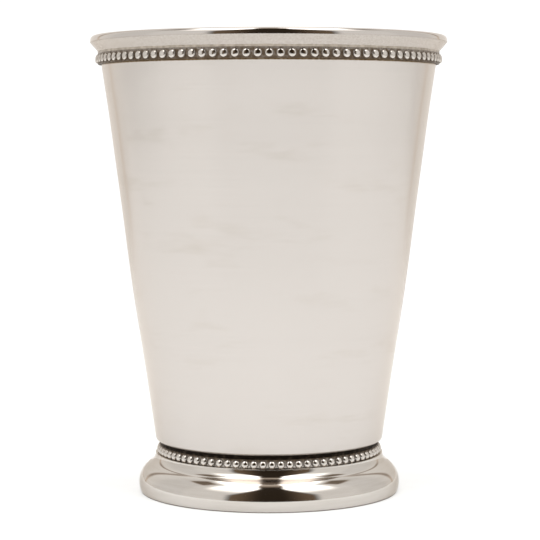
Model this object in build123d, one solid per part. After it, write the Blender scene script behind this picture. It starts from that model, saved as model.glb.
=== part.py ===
from build123d import *
import os
from math import asin, atan2, cos, hypot, pi, sin, sqrt

# Beaded julep cup: a spun bowl on a spun hollow foot, trimmed with two struck bands of beads.
# Millimetres, +Z up, origin on the table under the middle of the foot.

# Whole cup
overall_height = 114.0
lip_diameter = 88.9

# Bowl, spun from one disc of sheet
bowl_sheet = 0.9
bowl_base_diameter = 57.1
bowl_heel_radius = 1.0
bowl_floor_round = 2.0
lip_height = 4.35
lip_overhang = 2.37
lip_thickness = 2.4
neck_round = 4.0

# Rim band, a strip of beads soldered round the neck, and the solder along its top edge
rim_band_sheet = 0.47
rim_band_upper_border = 0.25
rim_band_lower_border = 0.38
rim_bead_diameter = 2.05
rim_bead_relief = 0.62
rim_bead_gap = 0.57
rim_bead_start = -89.8
rim_solder_height = 0.55

# Foot, spun hollow, with a flange that carries the bowl
foot_height = 12.9
foot_sheet = 0.9
foot_collar_inset = 1.3
foot_flange_width = 6.25
foot_groove = 1.0
foot_ledge_width = 1.4
foot_spread = 4.25
foot_shoulder_radius = 6.0
foot_skirt_height = 2.2
foot_skirt_draw = 0.5

# Foot band, a strip of beads on the ledge round the foot's collar
foot_band_sheet = 0.25
foot_band_border = 0.05
foot_bead_diameter = 2.0
foot_bead_relief = 0.85
foot_bead_gap = 0.16
foot_bead_start = -88.6

# Solder run in the corner between the flange's bore and the bowl
foot_solder_reach = 1.2

# A bead is an eight-sided dome, with one ring of corners half way round to its top
bead_sides = 8
bead_ring_share = sqrt(0.5)


def along(start, end, share):
    """Point part of the way from start to end."""
    return tuple(a + share * (b - a) for a, b in zip(start, end))


def shifted(point, direction, distance):
    """Point moved along a direction."""
    return tuple(p + distance * d for p, d in zip(point, direction))


def outward(low, high):
    """Unit normal, away from the axis, of a wall that runs from low up to high."""
    run = hypot(high[0] - low[0], high[1] - low[1])
    return ((high[1] - low[1]) / run, (low[0] - high[0]) / run)


def short_arc(centre, start, end):
    """Arc about centre from start to end, the short way round."""
    chord_middle = along(start, end, 0.5)
    radius = hypot(start[0] - centre[0], start[1] - centre[1])
    reach = hypot(chord_middle[0] - centre[0], chord_middle[1] - centre[1])
    return ThreePointArc(start, along(centre, chord_middle, radius / reach), end)


def grazing_point(start, centre, radius, turn):
    """Where a line from start touches a circle, on its outer side for turn -1 or inner side for turn 1."""
    reach = hypot(centre[0] - start[0], centre[1] - start[1])
    heading = atan2(centre[1] - start[1], centre[0] - start[0]) + turn * asin(radius / reach)
    return shifted(start, (cos(heading), sin(heading)), sqrt(reach**2 - radius**2))


def rounded(outline, point, radius):
    """Round the corner of a flat outline that lies at point."""
    corner = outline.vertices().sort_by_distance((point[0], point[1], 0))[0]
    return fillet(corner, radius)


def spun(outline):
    """Turn a flat outline, drawn as radius and height, about the cup's axis."""
    return revolve(Plane.XZ * outline, Axis.Z)


# Bowl: places on its outside, as radius and height
base_corner = (bowl_base_diameter / 2, foot_height)
neck = (lip_diameter / 2 - lip_overhang, overall_height - lip_height)
lip_radius = lip_thickness / 2
lip_centre = (lip_diameter / 2 - lip_radius, overall_height - lip_radius)
lip_outside = grazing_point(neck, lip_centre, lip_radius, -1)

# Bowl: the matching places on its inside
wall_lean = (neck[0] - base_corner[0]) / (neck[1] - base_corner[1])
wall_run = bowl_sheet / outward(base_corner, neck)[0]
floor_top = foot_height + bowl_sheet
inner_corner = (base_corner[0] + wall_lean * bowl_sheet - wall_run, floor_top)
inner_neck = (neck[0] - wall_run, neck[1])


def make_bowl():
    """Tapered cup with a flat floor, a rounded heel and a flared lip with a full round edge."""
    lip_inside = grazing_point(inner_neck, lip_centre, lip_radius, 1)
    outline = make_face(
        Polyline((0, foot_height), base_corner, neck, lip_outside)
        + ThreePointArc(lip_outside, (lip_centre[0], overall_height), lip_inside)
        + Polyline(lip_inside, inner_neck, inner_corner, (0, floor_top), (0, foot_height))
    )
    outline = rounded(outline, base_corner, bowl_heel_radius)
    outline = rounded(outline, inner_corner, bowl_floor_round)
    outline = rounded(outline, inner_neck, neck_round)
    return spun(outline)


# Foot: places on its section, as radius and height
collar_radius = bowl_base_diameter / 2 - foot_collar_inset
bore_radius = collar_radius - foot_flange_width
foot_band_top = foot_height - foot_groove
ledge_radius = collar_radius + foot_ledge_width
ledge_height = foot_band_top - foot_bead_diameter - 2 * foot_band_border
foot_radius = ledge_radius + foot_spread
shoulder_centre = (foot_radius - foot_shoulder_radius, foot_skirt_height)

# The cove starts upright at the ledge's edge and runs smoothly into the shoulder
cove_across = ledge_radius - shoulder_centre[0]
cove_rise = ledge_height - shoulder_centre[1]
cove_spare = cove_across**2 + cove_rise**2 - foot_shoulder_radius**2
cove_radius = cove_spare / (2 * (foot_shoulder_radius - cove_across))
cove_centre = (ledge_radius + cove_radius, ledge_height)

# The skirt leaves the shoulder upright and draws in towards the table
skirt_radius = (foot_skirt_height**2 + foot_skirt_draw**2) / (2 * foot_skirt_draw)
skirt_centre = (foot_radius - skirt_radius, foot_skirt_height)


def foot_side(inset, top):
    """First point, arcs and last point of the cove, shoulder and skirt, set in by inset."""
    cove_drop = ledge_height - top
    start = (cove_centre[0] - sqrt((cove_radius + inset) ** 2 - cove_drop**2), top)
    joint_share = (foot_shoulder_radius - inset) / (foot_shoulder_radius + cove_radius)
    joint = along(shoulder_centre, cove_centre, joint_share)
    widest = (foot_radius - inset, foot_skirt_height)
    end = (skirt_centre[0] + sqrt((skirt_radius - inset) ** 2 - foot_skirt_height**2), 0)
    side = short_arc(cove_centre, start, joint)
    side += short_arc(shoulder_centre, joint, widest)
    side += short_arc(skirt_centre, widest, end)
    return start, side, end


def make_foot():
    """Hollow foot of even sheet: flange under the bowl, collar, ledge, cove, shoulder and skirt."""
    under_ledge = ledge_height - foot_sheet
    under_flange = foot_height - foot_sheet
    inner_collar = collar_radius - foot_sheet
    outer_start, outer_side, outer_end = foot_side(0, ledge_height)
    inner_start, inner_side, inner_end = foot_side(foot_sheet, under_ledge)
    top_run = Polyline(
        inner_start,
        (inner_collar, under_ledge),
        (inner_collar, under_flange),
        (bore_radius, under_flange),
        (bore_radius, foot_height),
        (collar_radius, foot_height),
        (collar_radius, ledge_height),
        outer_start,
    )
    return spun(make_face(top_run + outer_side + Line(outer_end, inner_end) + inner_side))


def make_foot_solder_seam():
    """Run of solder that holds the flange's bore to the bowl's underside."""
    corner = (bore_radius, foot_height)
    on_bowl = (bore_radius - foot_solder_reach, foot_height)
    on_flange = (bore_radius, foot_height - foot_sheet)
    return spun(make_face(Polyline(on_flange, corner, on_bowl, close=True)))


def make_rim_solder_seam():
    """Run of solder that fills the corner between the rim band's top edge and the lip's flare."""
    on_band = (neck[0] + rim_band_sheet, neck[1])
    on_lip = along(neck, lip_outside, rim_solder_height / (lip_outside[1] - neck[1]))
    return spun(make_face(Polyline(neck, on_band, on_lip, close=True)))


def corner_ring(apothem, height):
    """Corners of a level polygon whose flat sides face along X and Y."""
    radius = apothem / cos(pi / bead_sides)
    angles = [(2 * i + 1) * pi / bead_sides for i in range(bead_sides)]
    return [Vector(radius * cos(a), radius * sin(a), height) for a in angles]


def bead(diameter, relief, root):
    """Faceted dome that stands on the XY plane, with its root below."""
    ring_radius = bead_ring_share * diameter / 2
    ring_height = bead_ring_share * relief
    root_radius = ring_radius + (diameter / 2 - ring_radius) * (ring_height + root) / ring_height
    bottom = corner_ring(root_radius, -root)
    ring = corner_ring(ring_radius, ring_height)
    top = Vector(0, 0, relief)
    outlines = [bottom]
    for i in range(bead_sides):
        after = (i + 1) % bead_sides
        outlines.append([bottom[i], bottom[after], ring[after], ring[i]])
        outlines.append([ring[i], ring[after], top])
    return Solid(Shell([Face(Wire.make_polygon(outline)) for outline in outlines]))


def bead_band(low, high, sheet, bead_height, diameter, relief, gap, start_angle):
    """Upright strip round a wall from low to high, with a row of small flats that each carry one bead."""
    face_radius = high[0] + sheet
    count = round(2 * pi * face_radius / (diameter + gap))
    flats = RegularPolygon(face_radius, count, major_radius=False, rotation=start_angle + 180 / count)
    blank = extrude(Pos(0, 0, low[1]) * flats, high[1] - low[1])
    wall = spun(make_face(Polyline((0, low[1]), low, high, (0, high[1]), close=True)))
    seat = Plane((face_radius, 0, bead_height), x_dir=(0, 1, 0), z_dir=(1, 0, 0))
    one_bead = seat * bead(diameter, relief, sheet / 4)
    return blank - wall + [turn * one_bead for turn in PolarLocations(0, count, start_angle)]


def make_rim_band():
    """Beaded strip round the neck, on the top of the bowl's wall, with its beads near the upper edge."""
    bead_height = neck[1] - rim_band_upper_border - rim_bead_diameter / 2
    bottom = bead_height - rim_bead_diameter / 2 - rim_band_lower_border
    low = (neck[0] - wall_lean * (neck[1] - bottom), bottom)
    bead_sizes = (rim_bead_diameter, rim_bead_relief, rim_bead_gap, rim_bead_start)
    return bead_band(low, neck, rim_band_sheet, bead_height, *bead_sizes)


def make_foot_band():
    """Beaded strip round the foot's collar, standing on its ledge."""
    low = (collar_radius, ledge_height)
    high = (collar_radius, foot_band_top)
    bead_height = (ledge_height + foot_band_top) / 2
    bead_sizes = (foot_bead_diameter, foot_bead_relief, foot_bead_gap, foot_bead_start)
    return bead_band(low, high, foot_band_sheet, bead_height, *bead_sizes)


nodes = {
    "bowl": make_bowl(),
    "rim_bead_band": make_rim_band(),
    "rim_solder_seam": make_rim_solder_seam(),
    "foot": make_foot(),
    "foot_bead_band": make_foot_band(),
    "foot_solder_seam": make_foot_solder_seam(),
}

os.makedirs("parts", exist_ok=True)
for name, piece in nodes.items():
    export_step(piece, f"parts/{name}.step")
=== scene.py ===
from math import asin, atan2, copysign, cos, exp, hypot, pi, radians, sin, sqrt

import bmesh
import bpy
from mathutils import Matrix


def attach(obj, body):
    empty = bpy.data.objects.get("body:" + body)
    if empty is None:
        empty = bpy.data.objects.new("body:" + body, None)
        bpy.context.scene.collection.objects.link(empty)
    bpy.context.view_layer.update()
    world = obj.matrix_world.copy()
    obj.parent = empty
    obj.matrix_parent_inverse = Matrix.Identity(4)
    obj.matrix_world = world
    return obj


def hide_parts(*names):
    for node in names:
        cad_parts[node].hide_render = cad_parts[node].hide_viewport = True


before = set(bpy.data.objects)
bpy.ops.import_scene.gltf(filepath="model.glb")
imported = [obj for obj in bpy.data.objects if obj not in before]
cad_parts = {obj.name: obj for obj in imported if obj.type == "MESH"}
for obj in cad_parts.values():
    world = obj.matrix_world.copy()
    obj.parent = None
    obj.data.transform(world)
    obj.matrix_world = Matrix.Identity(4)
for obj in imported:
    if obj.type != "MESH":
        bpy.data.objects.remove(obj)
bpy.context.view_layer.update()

# Beaded julep cup: a finer mesh of each piece, the finishes, and a studio like the photograph's.
# The cup's sizes are in millimetres, as in the part's source, and become metres where a mesh is made.
millimetre = 0.001

# Whole cup
overall_height = 114.0
lip_diameter = 88.9

# Bowl
bowl_sheet = 0.9
bowl_base_diameter = 57.1
bowl_heel_radius = 1.0
bowl_floor_round = 2.0
lip_height = 4.35
lip_overhang = 2.37
lip_thickness = 2.4
neck_round = 4.0

# Rim band and the solder along its top edge
rim_band_sheet = 0.47
rim_band_upper_border = 0.25
rim_band_lower_border = 0.38
rim_bead_diameter = 2.05
rim_bead_relief = 0.62
rim_bead_gap = 0.57
rim_bead_start = -89.8
rim_solder_height = 0.55

# Foot
foot_height = 12.9
foot_sheet = 0.9
foot_collar_inset = 1.3
foot_flange_width = 6.25
foot_groove = 1.0
foot_ledge_width = 1.4
foot_spread = 4.25
foot_shoulder_radius = 6.0
foot_skirt_height = 2.2
foot_skirt_draw = 0.5

# Foot band and the solder under the bowl
foot_band_sheet = 0.25
foot_band_border = 0.05
foot_bead_diameter = 2.0
foot_bead_relief = 0.85
foot_bead_gap = 0.16
foot_bead_start = -88.6
foot_solder_reach = 1.2

# Corners that spinning and polishing soften
worn_edge = 0.06
band_edge = 0.03

# Lip's edge: how far its widest place lies below the middle of its round, and the power of its outline
lip_widest_drop = 0.2
lip_power = 0.8

# Solder: how hollow the foot's run is, and how uneven both are
foot_solder_hollow = 0.12
foot_solder_waver = 0.25
rim_solder_waver = 0.05

# Beads: how far a crown hangs below its bead's middle, and the power of its round.
# A power of 1 makes an ellipse, and less makes a fuller bead.
rim_bead_droop = 0.3
rim_bead_power = 0.75
foot_bead_droop = 0.34
foot_bead_power = 0.95

# Residue and painted shade clear from a bead's foot to its clean crown, less quickly at its left and right,
# beside the hollows between beads
bead_clearing = 3
bead_side_residue_and_shade = 2.1

# Amounts of dark residue and painted shade, where 0.5 covers the metal and 1 is black, and the width of the
# painted shadow line on the wall
# The bead bands carry dark residue and painted shade, from the strip's lower edge to its upper edge
rim_band_residue_and_shade = (0.64, 0.45)
foot_band_residue_and_shade = (0.2, 0.7)
# Painted shadow line on the wall under the rim band
wall_painted_shadow = 0.9
wall_shadow_width = 0.4
# Painted shade on the foot's collar, in the groove under the bowl
collar_painted_shade = 1.36
# Painted contact shadow along the foot's rest edge
rest_edge_painted_shadow = 0.8
# Slight darkening of the lip's flare
lip_flare_darkening = 0.13

# Fineness of the meshes
segments = 288
sharp_angle = 38
longest_step = 3.0
bead_side_cuts = 6
bead_rings = 8
weld_distance = 1e-4
on_axis = 1e-6

# Colours, as linear red, green, blue and alpha
satin_low = (0.583, 0.547, 0.518, 1)
satin_high = (0.601, 0.564, 0.535, 1)
satin_smudge = (0.52, 0.475, 0.43, 1)
satin_edge_tint = (0.87, 0.83, 0.79, 1)
# Residue colours, which also paint shade and shadow
satin_residue_and_shade = (0.16, 0.10, 0.04, 1)
mirror_low = (0.585, 0.55, 0.51, 1)
mirror_high = (0.625, 0.59, 0.555, 1)
mirror_edge_tint = (0.72, 0.68, 0.64, 1)
mirror_residue_and_shade = (0.11, 0.08, 0.055, 1)
thick_residue_and_shade = (0.012, 0.008, 0.005, 1)
solder_low = (0.29, 0.245, 0.195, 1)
solder_high = (0.53, 0.465, 0.395, 1)
paper_low = (0.872, 0.89, 0.907, 1)
paper_high = (0.902, 0.92, 0.937, 1)
tent_cloth = (1.0, 0.978, 0.945, 1)
gap_low = (1.0, 0.72, 0.48, 1)
gap_high = (1.0, 0.86, 0.72, 1)
white = (1, 1, 1, 1)

# Floor, in metres
floor_left = -0.65
floor_right = 0.9
floor_front = -2.5
floor_back = 0.4

# Light tent: its turn and the softness of its gap, in degrees, and how strong its other features are
tent_turn = -3
gap_softness = 4.5
lit_strength = 2.4
side_shade = 0.08
fold_shade = 0.75
fold_brown = 0.7
seam_brown = 0.4
backdrop_strength = 1.1

# Camera, in metres and degrees
camera_place = (0.00028, -0.48229, 0.08926)
camera_pitch = -3.999
camera_roll = -0.06
camera_lens = 127.95
camera_sensor = 36.0
camera_clip_start = 0.01


# Outlines, as radius and height

def along(start, end, share):
    """Point part of the way from start to end."""
    return tuple(a + share * (b - a) for a, b in zip(start, end))


def shifted(point, direction, distance):
    """Point moved along a direction."""
    return tuple(p + distance * d for p, d in zip(point, direction))


def towards(start, end):
    """Unit direction from start to end."""
    reach = hypot(end[0] - start[0], end[1] - start[1])
    return ((end[0] - start[0]) / reach, (end[1] - start[1]) / reach)


def arc(centre, start, end, steps):
    """Points of the short arc about centre from start to end."""
    radius = hypot(start[0] - centre[0], start[1] - centre[1])
    first = atan2(start[1] - centre[1], start[0] - centre[0])
    sweep = atan2(end[1] - centre[1], end[0] - centre[0]) - first
    sweep = (sweep + pi) % (2 * pi) - pi
    angles = [first + sweep * i / steps for i in range(steps + 1)]
    return [(centre[0] + radius * cos(a), centre[1] + radius * sin(a)) for a in angles]


def softened(before, corner, after, radius, steps):
    """Arc of that radius in place of a corner."""
    to_before = towards(corner, before)
    to_after = towards(corner, after)
    cosine = to_before[0] * to_after[0] + to_before[1] * to_after[1]
    reach = radius * sqrt((1 + cosine) / (1 - cosine))
    start = shifted(corner, to_before, reach)
    end = shifted(corner, to_after, reach)
    middle = along(start, end, 0.5)
    centre = shifted(corner, towards(corner, middle), hypot(reach, radius))
    return arc(centre, start, end, steps)


def divided(points, longest):
    """The same outline with long straight runs cut into shorter ones."""
    result = [points[0]]
    for point in points[1:]:
        last = result[-1]
        cuts = max(1, round(hypot(point[0] - last[0], point[1] - last[1]) / longest))
        result += [along(last, point, i / cuts) for i in range(1, cuts + 1)]
    return result


def fade(value, clear, full):
    """0 at clear, 1 at full, straight between them."""
    return min(1, max(0, (value - clear) / (full - clear)))


# Meshes

def add_piece(name, bm, material, node):
    """Add a piece from a mesh in millimetres, smooth but for its sharp corners, to stand for a CAD node."""
    bmesh.ops.scale(bm, vec=(millimetre, millimetre, millimetre), verts=bm.verts)
    bmesh.ops.recalc_face_normals(bm, faces=bm.faces)
    mesh = bpy.data.meshes.new(name)
    bm.to_mesh(mesh)
    bm.free()
    mesh.shade_smooth()
    mesh.set_sharp_from_angle(angle=radians(sharp_angle))
    mesh.materials.append(material)
    piece = bpy.data.objects.new(name, mesh)
    bpy.context.scene.collection.objects.link(piece)
    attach(piece, "root")
    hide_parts(node)


def turned(outline, wobble=None, **amounts):
    """Mesh of a closed outline turned about the cup's axis, with named amounts by radius and height."""
    bm = bmesh.new()
    layers = [(bm.verts.layers.float.new(name), amount) for name, amount in amounts.items()]
    rings = []
    for radius, height in outline:
        count = 1 if radius < on_axis else segments
        ring = []
        for i in range(count):
            angle = 2 * pi * i / segments
            reach = radius + (wobble(radius, angle) if wobble else 0)
            vert = bm.verts.new((reach * cos(angle), reach * sin(angle), height))
            for layer, amount in layers:
                vert[layer] = amount(radius, height)
            ring.append(vert)
        rings.append(ring)
    for low, high in zip(rings, rings[1:] + rings[:1]):
        if len(low) == 1 and len(high) == 1:
            continue
        for i in range(segments):
            j = (i + 1) % segments
            corners = [low[i % len(low)], low[j % len(low)], high[j % len(high)], high[i % len(high)]]
            bm.faces.new(list(dict.fromkeys(corners)))
    return bm


# Bowl

base_corner = (bowl_base_diameter / 2, foot_height)
neck = (lip_diameter / 2 - lip_overhang, overall_height - lip_height)
lip_radius = lip_thickness / 2
lip_centre = (lip_diameter / 2 - lip_radius, overall_height - lip_radius)
wall_lean = (neck[0] - base_corner[0]) / (neck[1] - base_corner[1])
wall_run = bowl_sheet * hypot(1, wall_lean)
floor_top = foot_height + bowl_sheet
inner_corner = (base_corner[0] + wall_lean * bowl_sheet - wall_run, floor_top)
inner_neck = (neck[0] - wall_run, neck[1])

# The lip's edge has points at these angles, and its polish starts between the two named ones
lip_widest = lip_centre[1] - lip_widest_drop
polish_clear_angle = -5
polish_full_angle = -3
lip_angles = (-8, polish_clear_angle, polish_full_angle, 0, 6, 12, 20, 30, 40, 50, 60, 70, 80, 90)

# The rim band's lower edge, with a painted shadow line on the wall below it
rim_bead_height = neck[1] - rim_band_upper_border - rim_bead_diameter / 2
rim_bottom = rim_bead_height - rim_bead_diameter / 2 - rim_band_lower_border
wall_shadow_end = rim_bottom - wall_shadow_width


def on_wall(height):
    """Point on the outside of the bowl's wall."""
    return (neck[0] - wall_lean * (neck[1] - height), height)


def grazing_point(start, turn):
    """Where a line from start touches the lip's round edge, on its outer side for turn -1."""
    reach = hypot(lip_centre[0] - start[0], lip_centre[1] - start[1])
    heading = atan2(lip_centre[1] - start[1], lip_centre[0] - start[0]) + turn * asin(lip_radius / reach)
    return shifted(start, (cos(heading), sin(heading)), sqrt(reach**2 - lip_radius**2))


lip_outside = grazing_point(neck, -1)


def swell(height, depth, middle, spread):
    """Smooth bulge of that depth about a middle height."""
    return depth * exp(-(((height - middle) / spread) ** 2))


def spun_swell(height):
    """Slight belly and waist that spinning leaves in the wall, gone at the heel and at the rim band."""
    belly = swell(height, depth=0.32, middle=52, spread=17)
    waist = swell(height, depth=0.1, middle=95, spread=8)
    return belly - waist


def lip_edge(angle):
    """Point of the lip's polished edge, nearly upright outside and round at the top."""
    turn = radians(angle)
    reach = overall_height - lip_widest if turn > 0 else lip_radius
    rise = copysign(abs(sin(turn)) ** lip_power, turn)
    return (lip_centre[0] + lip_radius * max(0, cos(turn)) ** lip_power, lip_widest + reach * rise)


def bowl_outline():
    """Outline of the bowl's sheet, from the middle of its underside up to the lip and down inside."""
    under_middle = (0, foot_height)
    floor_middle = (0, floor_top)
    lip_top = (lip_centre[0], overall_height)
    lip_inside = grazing_point(inner_neck, 1)
    points = [under_middle]
    points += softened(under_middle, base_corner, neck, bowl_heel_radius, steps=8)
    points += [on_wall(wall_shadow_end), on_wall(rim_bottom), neck, lip_outside]
    points += [lip_edge(angle) for angle in lip_angles]
    points += arc(lip_centre, lip_top, lip_inside, steps=8)[1:]
    points += softened(lip_inside, inner_neck, inner_corner, neck_round, steps=5)
    points += softened(inner_neck, inner_corner, floor_middle, bowl_floor_round, steps=8)
    points += [floor_middle]
    return [(r + (spun_swell(z) if r > 0 else 0), z) for r, z in divided(points, longest_step)]


def lip_polish(radius, height):
    """Full on the lip's edge, none elsewhere."""
    amount = fade(height, clear=lip_edge(polish_clear_angle)[1], full=lip_edge(polish_full_angle)[1])
    return amount if radius > lip_diameter / 2 - lip_thickness else 0


def bowl_grime(radius, height):
    """Painted shade under the heel, a painted shadow line on the wall below the rim band, and a slight
    darkening of the lip's flare.
    """
    inside = radius < on_wall(height)[0] - bowl_sheet / 3
    if inside or height < wall_shadow_end:
        # Painted shade on the bowl's underside at the heel, over the groove above the foot
        under_heel = fade(height, clear=foot_height + 0.12, full=foot_height + 0.02)
        return under_heel * fade(radius, clear=24.5, full=25.5)
    if height < neck[1] - 0.1:
        # Painted shadow line on the wall under the rim band
        return wall_painted_shadow * fade(height, clear=wall_shadow_end, full=rim_bottom)
    # Slight darkening of the lip's flare, off its polished edge
    return lip_flare_darkening * (1 - lip_polish(radius, height))


def heel_dulling(radius, height):
    """Rougher finish close above the heel."""
    return fade(height, clear=foot_height + 3.5, full=foot_height + 1)


# Foot

collar_radius = bowl_base_diameter / 2 - foot_collar_inset
bore_radius = collar_radius - foot_flange_width
foot_band_top = foot_height - foot_groove
ledge_radius = collar_radius + foot_ledge_width
ledge_height = foot_band_top - foot_bead_diameter - 2 * foot_band_border
foot_radius = ledge_radius + foot_spread
shoulder_centre = (foot_radius - foot_shoulder_radius, foot_skirt_height)
cove_across = ledge_radius - shoulder_centre[0]
cove_rise = ledge_height - shoulder_centre[1]
cove_spare = cove_across**2 + cove_rise**2 - foot_shoulder_radius**2
cove_radius = cove_spare / (2 * (foot_shoulder_radius - cove_across))
cove_centre = (ledge_radius + cove_radius, ledge_height)
skirt_radius = (foot_skirt_height**2 + foot_skirt_draw**2) / (2 * foot_skirt_draw)
skirt_centre = (foot_radius - skirt_radius, foot_skirt_height)


def foot_side(inset, top):
    """Points of the cove, shoulder and skirt, set in by inset, from the height top down to the table."""
    start = (cove_centre[0] - sqrt((cove_radius + inset) ** 2 - (ledge_height - top) ** 2), top)
    joint_share = (foot_shoulder_radius - inset) / (foot_shoulder_radius + cove_radius)
    joint = along(shoulder_centre, cove_centre, joint_share)
    widest = (foot_radius - inset, foot_skirt_height)
    end = (skirt_centre[0] + sqrt((skirt_radius - inset) ** 2 - foot_skirt_height**2), 0)
    points = arc(cove_centre, start, joint, steps=12)
    points += arc(shoulder_centre, joint, widest, steps=14)[1:]
    points += arc(skirt_centre, widest, end, steps=8)[1:]
    return points


def foot_outline():
    """Outline of the foot's sheet: down its outside, up its inside and round the flange and collar."""
    under_ledge = ledge_height - foot_sheet
    under_flange = foot_height - foot_sheet
    inner_collar = collar_radius - foot_sheet
    outside = foot_side(0, ledge_height)
    inside = foot_side(foot_sheet, under_ledge)[::-1]
    top_run = [
        (inner_collar, under_ledge),
        (inner_collar, under_flange),
        (bore_radius, under_flange),
        (bore_radius, foot_height),
        (collar_radius, foot_height),
        (collar_radius, ledge_height),
    ]
    points = outside + inside + top_run
    corners = [outside[0], outside[-1], inside[0], inside[-1]] + top_run
    result = []
    for before, point, after in zip(points[-1:] + points[:-1], points, points[1:] + points[:1]):
        result += softened(before, point, after, worn_edge, steps=3) if point in corners else [point]
    return result


def foot_grime(radius, height):
    """Painted shade on the collar, in the groove under the bowl, and a painted contact shadow along the
    rest edge.
    """
    # Painted shade on the collar in the groove under the bowl
    collar = fade(height, clear=ledge_height + 0.02, full=ledge_height + 0.1)
    collar *= fade(radius, clear=ledge_radius, full=collar_radius + 0.1)
    # Painted contact shadow along the rest edge
    rest_edge = fade(height, clear=0.2, full=0.06)
    return max(collar_painted_shade * collar, rest_edge_painted_shadow * rest_edge)


# Bead bands

def bead_band(low, high, sheet, bead_height, diameter, relief, gap, start_angle, droop, power, residue_and_shade):
    """Mesh of an upright strip round a wall from low to high, with a smooth bead in each cell.

    The residue and painted shade go from the first amount at the strip's lower edge to the second at the
    upper edge.
    """
    face_radius = high[0] + sheet
    edge_radius = face_radius - band_edge
    count = round(2 * pi * face_radius / (diameter + gap))
    middle = (low[1] + high[1]) / 2
    half_height = (high[1] - low[1]) / 2
    face_half = half_height - band_edge
    half_width = pi * face_radius / count
    bead_rise = bead_height - middle
    around = 4 * bead_side_cuts
    bm = bmesh.new()
    layer = bm.verts.layers.float.new("grime")

    def place(cell, across, rise, radius, grime):
        angle = radians(start_angle) + (2 * half_width * cell + across) / face_radius
        vert = bm.verts.new((radius * cos(angle), radius * sin(angle), middle + rise))
        vert[layer] = grime
        return vert

    # Residue and painted shade on the strip
    def strip_residue_and_shade(rise):
        return residue_and_shade[0] + (residue_and_shade[1] - residue_and_shade[0]) * ((rise / half_height + 1) / 2) ** 2

    # Points round a cell, and the matching angles round its bead, from the lower left corner
    corners = [(-1, -1), (1, -1), (1, 1), (-1, 1)]
    cell_edge = []
    for first, last in zip(corners, corners[1:] + corners[:1]):
        cell_edge += [along(first, last, i / bead_side_cuts) for i in range(bead_side_cuts)]
    angles = [radians(225) + 2 * pi * i / around for i in range(around)]
    steps = [half_width * (2 * i / bead_side_cuts - 1) for i in range(bead_side_cuts + 1)]

    for cell in range(count):
        flat = []
        for u, v in cell_edge:
            rise = v * face_half
            flat.append(place(cell, u * half_width, rise, face_radius, strip_residue_and_shade(rise)))

        # Rings from the bead's foot to its crown
        rings = [flat]
        for k in range(bead_rings):
            tilt = pi / 2 * k / bead_rings
            reach = diameter / 2 * cos(tilt) ** power
            top = face_radius + relief * sin(tilt) ** power
            ring = []
            for a in angles:
                rise = bead_rise - droop * sin(tilt) + reach * sin(a)
                # Residue and painted shade fade towards the crown, less quickly at the sides that face the
                # hollows between beads
                cleared = sin(tilt) * (bead_clearing - bead_side_residue_and_shade * abs(cos(a)))
                left = strip_residue_and_shade(rise) * max(0, 1 - cleared)
                ring.append(place(cell, reach * cos(a), rise, top, left))
            rings.append(ring)
        crown = place(cell, 0, bead_rise - droop, face_radius + relief, 0)
        for inner, outer in zip(rings[1:], rings):
            for i in range(around):
                j = (i + 1) % around
                bm.faces.new((outer[i], outer[j], inner[j], inner[i]))
        for i in range(around):
            bm.faces.new((rings[-1][i], rings[-1][(i + 1) % around], crown))

        # Edges and back of the strip
        lower = flat[: bead_side_cuts + 1]
        upper = flat[2 * bead_side_cuts : 3 * bead_side_cuts + 1][::-1]
        lower_edge = [place(cell, u, -half_height, edge_radius, residue_and_shade[0]) for u in steps]
        upper_edge = [place(cell, u, half_height, edge_radius, residue_and_shade[1]) for u in steps]
        lower_back = [place(cell, u, -half_height, low[0], 1) for u in steps]
        upper_back = [place(cell, u, half_height, high[0], 1) for u in steps]
        rows = [upper, upper_edge, upper_back, lower_back, lower_edge, lower]
        for one, two in zip(rows, rows[1:]):
            for i in range(bead_side_cuts):
                bm.faces.new((one[i], one[i + 1], two[i + 1], two[i]))
    bmesh.ops.remove_doubles(bm, verts=bm.verts, dist=weld_distance)
    return bm


# Solder

def uneven(angle, waves, sway, sways):
    """Wave round the cup, drawn together and apart by a slower one."""
    return sin(waves * angle + sway * sin(sways * angle))


def foot_solder_outline():
    """Outline of the run under the bowl, with a slightly hollow skin."""
    corner = (bore_radius, foot_height)
    on_bowl = (bore_radius - foot_solder_reach, foot_height)
    on_flange = (bore_radius, foot_height - foot_sheet)
    middle = along(on_bowl, on_flange, 0.5)
    skin = shifted(middle, towards(middle, corner), foot_solder_hollow)
    return [on_flange, corner, on_bowl, along(on_bowl, skin, 0.6), skin, along(skin, on_flange, 0.4)]


def foot_solder_run(radius, angle):
    """Slightly uneven edge of the run, only where the skin is free."""
    free = fade(bore_radius - radius, clear=0, full=foot_solder_reach)
    wave = uneven(angle, waves=7, sway=2, sways=3) * sin(2 * angle + 1)
    return -foot_solder_waver * free * (0.5 + 0.5 * wave)


def rim_solder_outline():
    """Outline of the run in the corner over the rim band."""
    on_band = (neck[0] + rim_band_sheet, neck[1])
    on_lip = along(neck, lip_outside, rim_solder_height / (lip_outside[1] - neck[1]))
    return [neck, on_band, along(on_band, on_lip, 0.5), on_lip]


def rim_solder_run(radius, angle):
    """Slight unevenness along the free face of the run."""
    free = fade(radius, clear=neck[0] + 0.3, full=neck[0] + rim_band_sheet)
    wave = uneven(angle, waves=23, sway=3, sways=5)
    return -rim_solder_waver * free * (0.5 + 0.5 * wave)


# Shader nodes

def new_material(name):
    """Material with its node tree and its shader."""
    material = bpy.data.materials.new(name)
    material.use_nodes = True
    tree = material.node_tree
    return material, tree, tree.nodes["Principled BSDF"]


def new_node(tree, kind, **values):
    made = tree.nodes.new(kind)
    for key, value in values.items():
        setattr(made, key, value)
    return made


def feed(tree, target, source):
    """Link a socket, or set its value."""
    if isinstance(source, bpy.types.NodeSocket):
        tree.links.new(source, target)
    else:
        target.default_value = source


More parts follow.
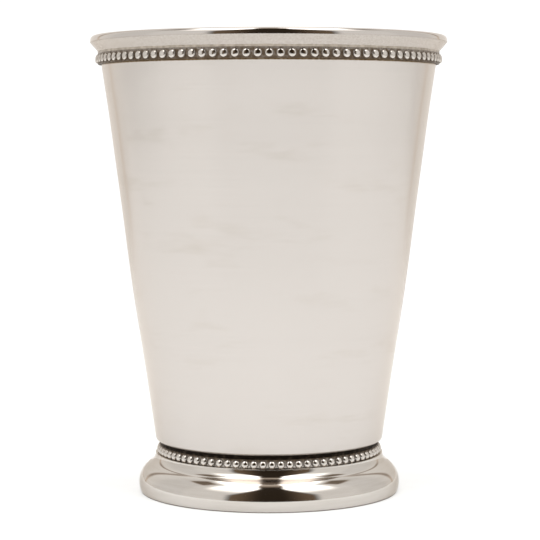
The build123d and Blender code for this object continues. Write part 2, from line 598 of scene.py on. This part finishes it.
def maths(tree, operation, first, second=0.0):
    made = new_node(tree, "ShaderNodeMath", operation=operation)
    feed(tree, made.inputs[0], first)
    feed(tree, made.inputs[1], second)
    return made.outputs[0]


def plus(tree, first, second):
    return maths(tree, "ADD", first, second)


def minus(tree, first, second):
    return maths(tree, "SUBTRACT", first, second)


def times(tree, first, second):
    return maths(tree, "MULTIPLY", first, second)


def larger(tree, first, second):
    return maths(tree, "MAXIMUM", first, second)


def ranged(tree, value, low, high, to_low=0.0, to_high=1.0, smooth=False):
    """Value moved from the range low to high into another, and held at its ends."""
    made = new_node(tree, "ShaderNodeMapRange", interpolation_type="SMOOTHSTEP" if smooth else "LINEAR")
    feed(tree, made.inputs["Value"], value)
    feed(tree, made.inputs["From Min"], low)
    feed(tree, made.inputs["From Max"], high)
    feed(tree, made.inputs["To Min"], to_low)
    feed(tree, made.inputs["To Max"], to_high)
    return made.outputs[0]


def mixed(tree, amount, first, second):
    """Colour between first and second, by the node's colour sockets, which come after its other ones."""
    made = new_node(tree, "ShaderNodeMix", data_type="RGBA")
    feed(tree, made.inputs["Factor"], amount)
    feed(tree, made.inputs[6], first)
    feed(tree, made.inputs[7], second)
    return made.outputs[2]


def noise(tree, stretch, detail=2.0, roughness=0.5):
    """Noise over the part, with its own scale per metre along each axis."""
    coordinates = new_node(tree, "ShaderNodeTexCoord")
    mapping = new_node(tree, "ShaderNodeMapping")
    mapping.inputs["Scale"].default_value = stretch
    tree.links.new(coordinates.outputs["Object"], mapping.inputs["Vector"])
    made = new_node(tree, "ShaderNodeTexNoise")
    made.inputs["Scale"].default_value = 1.0
    made.inputs["Detail"].default_value = detail
    made.inputs["Roughness"].default_value = roughness
    tree.links.new(mapping.outputs["Vector"], made.inputs["Vector"])
    return made.outputs[0]


def carried(tree, name):
    """Amount that a mesh carries under that name."""
    return new_node(tree, "ShaderNodeAttribute", attribute_name=name).outputs["Fac"]


def residue_and_shade_over(tree, clean, stain_and_shade, residue_and_shade):
    """Colour that is the residue's at half a stain, and that of thick residue at a full one; the stains
    carry painted shade as well as residue.
    """
    thin = mixed(tree, ranged(tree, stain_and_shade, 0.0, 0.5), clean, residue_and_shade)
    return mixed(tree, ranged(tree, stain_and_shade, 0.5, 1.0), thin, thick_residue_and_shade)


def add_bump(tree, shader, height, strength, distance):
    """Fine relief, with its depth in metres."""
    bump = new_node(tree, "ShaderNodeBump")
    feed(tree, bump.inputs["Strength"], strength)
    bump.inputs["Distance"].default_value = distance
    tree.links.new(height, bump.inputs["Height"])
    tree.links.new(bump.outputs["Normal"], shader.inputs["Normal"])


# Materials

def satin_nickel():
    """Nickel with fine lines turned round the wall and faint smudges, bright on the lip's polished edge."""
    material, tree, shader = new_material("satin_nickel")
    shader.inputs["Metallic"].default_value = 1.0
    shader.inputs["Specular Tint"].default_value = satin_edge_tint
    shader.inputs["Anisotropic"].default_value = 0.5
    shader.inputs["Anisotropic Rotation"].default_value = 0.25
    around = new_node(tree, "ShaderNodeTangent", direction_type="RADIAL", axis="Z")
    tree.links.new(around.outputs["Tangent"], shader.inputs["Tangent"])

    lines = noise(tree, stretch=(12, 12, 5200), detail=3.0, roughness=0.6)
    bands = noise(tree, stretch=(9, 9, 160))
    smudges = noise(tree, stretch=(40, 40, 150), detail=4.0, roughness=0.7)
    grain = noise(tree, stretch=(2200, 2200, 2200))
    tone = plus(tree, times(tree, lines, 0.75), times(tree, bands, 0.25))
    smudge = ranged(tree, smudges, 0.55, 0.75)
    grime = carried(tree, "grime")
    polish = carried(tree, "polish")

    clean = mixed(tree, ranged(tree, tone, 0.3, 0.7), satin_low, satin_high)
    dulled = mixed(tree, times(tree, smudge, 0.5), clean, satin_smudge)
    # Darkening by the grime amount: painted shade under the heel, a painted shadow line below the rim band,
    # and a slight darkening of the lip's flare
    stain_and_shade = times(tree, grime, ranged(tree, grain, 0.35, 0.65, to_low=0.7, to_high=1.3))
    feed(tree, shader.inputs["Base Color"], residue_and_shade_over(tree, dulled, stain_and_shade, satin_residue_and_shade))

    rough = ranged(tree, tone, 0.3, 0.7, to_low=0.228, to_high=0.212)
    for amount, roughening in ((smudge, 0.02), (grime, 0.2), (carried(tree, "dulling"), 0.03)):
        rough = plus(tree, rough, times(tree, amount, roughening))
    feed(tree, shader.inputs["Roughness"], ranged(tree, polish, 0, 1, to_low=rough, to_high=0.07))

    relief = ranged(tree, polish, 0, 1, to_low=0.05, to_high=0.0)
    add_bump(tree, shader, lines, strength=relief, distance=0.00004)
    return material


def polished_nickel():
    """Mirror nickel with a trace of polishing haze, brown residue and painted shade in the bead bands'
    hollows, painted shade on the foot's collar and a painted shadow along its rest edge.
    """
    material, tree, shader = new_material("polished_nickel")
    shader.inputs["Specular Tint"].default_value = mirror_edge_tint
    shader.inputs["Specular IOR Level"].default_value = 0.15

    haze = noise(tree, stretch=(60, 60, 900), detail=3.0, roughness=0.6)
    grain = noise(tree, stretch=(1100, 1100, 1100))
    clean = mixed(tree, ranged(tree, haze, 0.35, 0.65), mirror_low, mirror_high)
    patchy = ranged(tree, grain, 0.35, 0.65, to_low=0.68, to_high=1.0)
    # Darkening by the grime amount: residue and painted shade on the bead bands, painted shade on the
    # foot's collar and a painted shadow along its rest edge
    stain_and_shade = times(tree, carried(tree, "grime"), patchy)
    feed(tree, shader.inputs["Base Color"], residue_and_shade_over(tree, clean, stain_and_shade, mirror_residue_and_shade))
    feed(tree, shader.inputs["Metallic"], ranged(tree, stain_and_shade, 0.0, 0.5, to_low=1.0, to_high=0.35))

    rough = ranged(tree, haze, 0.35, 0.65, to_low=0.09, to_high=0.05)
    feed(tree, shader.inputs["Roughness"], plus(tree, rough, times(tree, stain_and_shade, 0.6)))
    return material


def solder():
    """Dull, lumpy run of solder, stained by the flux."""
    material, tree, shader = new_material("solder")
    shader.inputs["Metallic"].default_value = 0.4
    lumps = noise(tree, stretch=(800, 800, 800), detail=3.0)
    colour = mixed(tree, ranged(tree, lumps, 0.3, 0.7), solder_low, solder_high)
    feed(tree, shader.inputs["Base Color"], colour)
    feed(tree, shader.inputs["Roughness"], ranged(tree, lumps, 0.2, 0.8, to_low=0.55, to_high=0.36))
    add_bump(tree, shader, lumps, strength=0.4, distance=0.0001)
    return material


# Pieces

satin = satin_nickel()
mirror = polished_nickel()
dull = solder()

bowl_mesh = turned(bowl_outline(), grime=bowl_grime, polish=lip_polish, dulling=heel_dulling)
add_piece("spun_bowl", bowl_mesh, satin, "bowl")

rim_band_mesh = bead_band(
    low=on_wall(rim_bottom),
    high=neck,
    sheet=rim_band_sheet,
    bead_height=rim_bead_height,
    diameter=rim_bead_diameter,
    relief=rim_bead_relief,
    gap=rim_bead_gap,
    start_angle=rim_bead_start,
    droop=rim_bead_droop,
    power=rim_bead_power,
    residue_and_shade=rim_band_residue_and_shade,
)
add_piece("rim_beading", rim_band_mesh, mirror, "rim_bead_band")

rim_solder_mesh = turned(rim_solder_outline(), rim_solder_run)
add_piece("rim_solder_run", rim_solder_mesh, dull, "rim_solder_seam")

foot_mesh = turned(foot_outline(), grime=foot_grime)
add_piece("spun_foot", foot_mesh, mirror, "foot")

foot_band_mesh = bead_band(
    low=(collar_radius, ledge_height),
    high=(collar_radius, foot_band_top),
    sheet=foot_band_sheet,
    bead_height=(ledge_height + foot_band_top) / 2,
    diameter=foot_bead_diameter,
    relief=foot_bead_relief,
    gap=foot_bead_gap,
    start_angle=foot_bead_start,
    droop=foot_bead_droop,
    power=foot_bead_power,
    residue_and_shade=foot_band_residue_and_shade,
)
add_piece("foot_beading", foot_band_mesh, mirror, "foot_bead_band")

foot_solder_mesh = turned(foot_solder_outline(), foot_solder_run)
add_piece("foot_solder_run", foot_solder_mesh, dull, "foot_solder_seam")


# Floor

def make_floor():
    """Sheet of pale paper under the cup."""
    mesh = bpy.data.meshes.new("floor")
    corners = [
        (floor_left, floor_front, 0),
        (floor_right, floor_front, 0),
        (floor_right, floor_back, 0),
        (floor_left, floor_back, 0),
    ]
    mesh.from_pydata(corners, [], [(0, 1, 2, 3)])
    material, tree, shader = new_material("floor")
    shader.inputs["Roughness"].default_value = 0.9
    shader.inputs["Specular IOR Level"].default_value = 0.0
    paper = noise(tree, stretch=(180, 180, 180))
    feed(tree, shader.inputs["Base Color"], mixed(tree, paper, paper_low, paper_high))
    mesh.materials.append(material)
    floor = bpy.data.objects.new("floor", mesh)
    bpy.context.scene.collection.objects.link(floor)


make_floor()


# Studio: a pale tent with a dark gap at the front, where the camera stands, and lamps above

def near(tree, value, place, full, clear):
    """1 within the angle full of a place, fading to 0 at the angle clear."""
    apart = maths(tree, "ABSOLUTE", minus(tree, value, place))
    return ranged(tree, apart, clear, full, smooth=True)


def tent_directions(tree):
    """Where a ray goes: how far to the right, its turn from the front and its lift above the floor."""
    coordinates = new_node(tree, "ShaderNodeTexCoord")
    mapping = new_node(tree, "ShaderNodeMapping")
    mapping.inputs["Rotation"].default_value = (0, 0, radians(tent_turn))
    tree.links.new(coordinates.outputs["Generated"], mapping.inputs["Vector"])
    parts = new_node(tree, "ShaderNodeSeparateXYZ")
    tree.links.new(mapping.outputs["Vector"], parts.inputs["Vector"])
    right, back, up = parts.outputs
    sideways = maths(tree, "ABSOLUTE", right)
    turn = maths(tree, "DEGREES", maths(tree, "ARCTAN2", sideways, times(tree, back, -1.0)))
    lift = maths(tree, "DEGREES", maths(tree, "ARCSINE", up))
    return right, turn, lift


def tent_light(tree):
    """Colour and strength of the tent's light in each direction.

    A turn is in degrees from the front to either side, and a lift in degrees above the floor.
    """
    right, turn, lift = tent_directions(tree)

    # Tent cloth, paler at the back, with a lamp behind it at each side of the gap and a bright roof
    lamp_rise = ranged(tree, lift, 32, 54, smooth=True)
    lamp_side = ranged(tree, turn, 76, 62, smooth=True)
    roof_rise = ranged(tree, lift, 62, 69, smooth=True)
    roof_side = ranged(tree, turn, 146, 122, smooth=True)
    lit = larger(tree, times(tree, lamp_rise, lamp_side), times(tree, roof_rise, roof_side))
    level = ranged(tree, turn, 122, 140, to_low=0.97, to_high=1.06, smooth=True)
    side = near(tree, turn, place=103, full=13, clear=24)
    level = minus(tree, level, times(tree, side, side_shade))
    cloth = plus(tree, times(tree, lit, lit_strength), level)

    # Darker seam at the back of each side, deeper and wider higher up, and a dark fold above the sides
    seam_turn = ranged(tree, right, -0.1, 0.1, to_low=143, to_high=136)
    seam_width = ranged(tree, lift, 4, 16, to_low=3, to_high=5)
    seam_shade = ranged(tree, lift, 4, 16, to_low=0.18, to_high=0.55)
    seam = near(tree, turn, place=seam_turn, full=0.7, clear=seam_width)
    seam = times(tree, seam, ranged(tree, lift, 60, 40, smooth=True))
    fold_side = near(tree, turn, place=98, full=10, clear=19)
    fold = times(tree, fold_side, near(tree, lift, place=55, full=4, clear=8))
    shade = larger(tree, times(tree, seam, seam_shade), times(tree, fold, fold_shade))
    cloth = times(tree, cloth, minus(tree, 1.0, shade))

    # Dark gap that narrows between the lamps, paler towards its edges, and opens round the zenith
    half_gap = ranged(tree, lift, 24, 57, to_low=41, to_high=17)
    half_gap = plus(tree, half_gap, ranged(tree, lift, 63, 78, to_low=0, to_high=12))
    half_gap = plus(tree, half_gap, ranged(tree, lift, 85, 89, to_low=0, to_high=190))
    gap = ranged(tree, minus(tree, half_gap, turn), -gap_softness, gap_softness, smooth=True)
    gap_level = ranged(tree, turn, 8, 38, to_low=0.036, to_high=0.19, smooth=True)
    gap_level = plus(tree, gap_level, ranged(tree, lift, 64, 80, to_low=0, to_high=0.6, smooth=True))
    strength = plus(tree, times(tree, cloth, minus(tree, 1.0, gap)), times(tree, gap, gap_level))

    # Brown in the gap, the seams and the folds, and paler brown near the zenith
    brown = larger(tree, ranged(tree, gap, 0.88, 1.0), times(tree, seam, seam_brown))
    brown = larger(tree, brown, times(tree, fold, fold_brown))
    gap_colour = mixed(tree, ranged(tree, lift, 60, 78, smooth=True), gap_low, gap_high)
    return mixed(tree, brown, tent_cloth, gap_colour), strength


def make_studio():
    """World that lights the cup as the tent does, with a white backdrop where the camera sees past it."""
    world = bpy.data.worlds.new("studio")
    world.use_nodes = True
    bpy.context.scene.world = world
    tree = world.node_tree
    tree.nodes.clear()
    colour, strength = tent_light(tree)
    tent = new_node(tree, "ShaderNodeBackground")
    tree.links.new(colour, tent.inputs["Color"])
    tree.links.new(strength, tent.inputs["Strength"])
    backdrop = new_node(tree, "ShaderNodeBackground")
    backdrop.inputs["Color"].default_value = white
    backdrop.inputs["Strength"].default_value = backdrop_strength
    path = new_node(tree, "ShaderNodeLightPath")
    either = new_node(tree, "ShaderNodeMixShader")
    tree.links.new(path.outputs["Is Camera Ray"], either.inputs[0])
    tree.links.new(tent.outputs[0], either.inputs[1])
    tree.links.new(backdrop.outputs[0], either.inputs[2])
    out = new_node(tree, "ShaderNodeOutputWorld")
    tree.links.new(either.outputs[0], out.inputs["Surface"])


make_studio()


def make_lamp(name, energy, size, location):
    """Soft lamp without shadow that is not seen in the metal."""
    lamp = bpy.data.lights.new(name, "POINT")
    lamp.energy = energy
    lamp.shadow_soft_size = size
    lamp.use_shadow = False
    lamp_object = bpy.data.objects.new(name, lamp)
    lamp_object.location = location
    lamp_object.visible_glossy = False
    lamp_object.visible_camera = False
    bpy.context.scene.collection.objects.link(lamp_object)


make_lamp("overhead", energy=3.6, size=0.2, location=(0, -0.05, 0.7))
make_lamp("front_fill", energy=0.05, size=0.03, location=(0, -0.08, 0.1))


# Camera

def make_camera():
    """Camera at the photograph's viewing angle."""
    camera = bpy.data.cameras.new("camera")
    camera.lens = camera_lens
    camera.sensor_width = camera_sensor
    camera.clip_start = camera_clip_start
    camera_object = bpy.data.objects.new("camera", camera)
    stand = Matrix.Translation(camera_place)
    tilt = Matrix.Rotation(radians(90 + camera_pitch), 4, "X")
    roll = Matrix.Rotation(radians(camera_roll), 4, "Z")
    camera_object.matrix_world = stand @ tilt @ roll
    bpy.context.scene.collection.objects.link(camera_object)
    bpy.context.scene.camera = camera_object


make_camera()

bpy.context.scene.view_settings.view_transform = "Standard"
bpy.context.scene.view_settings.look = "None"
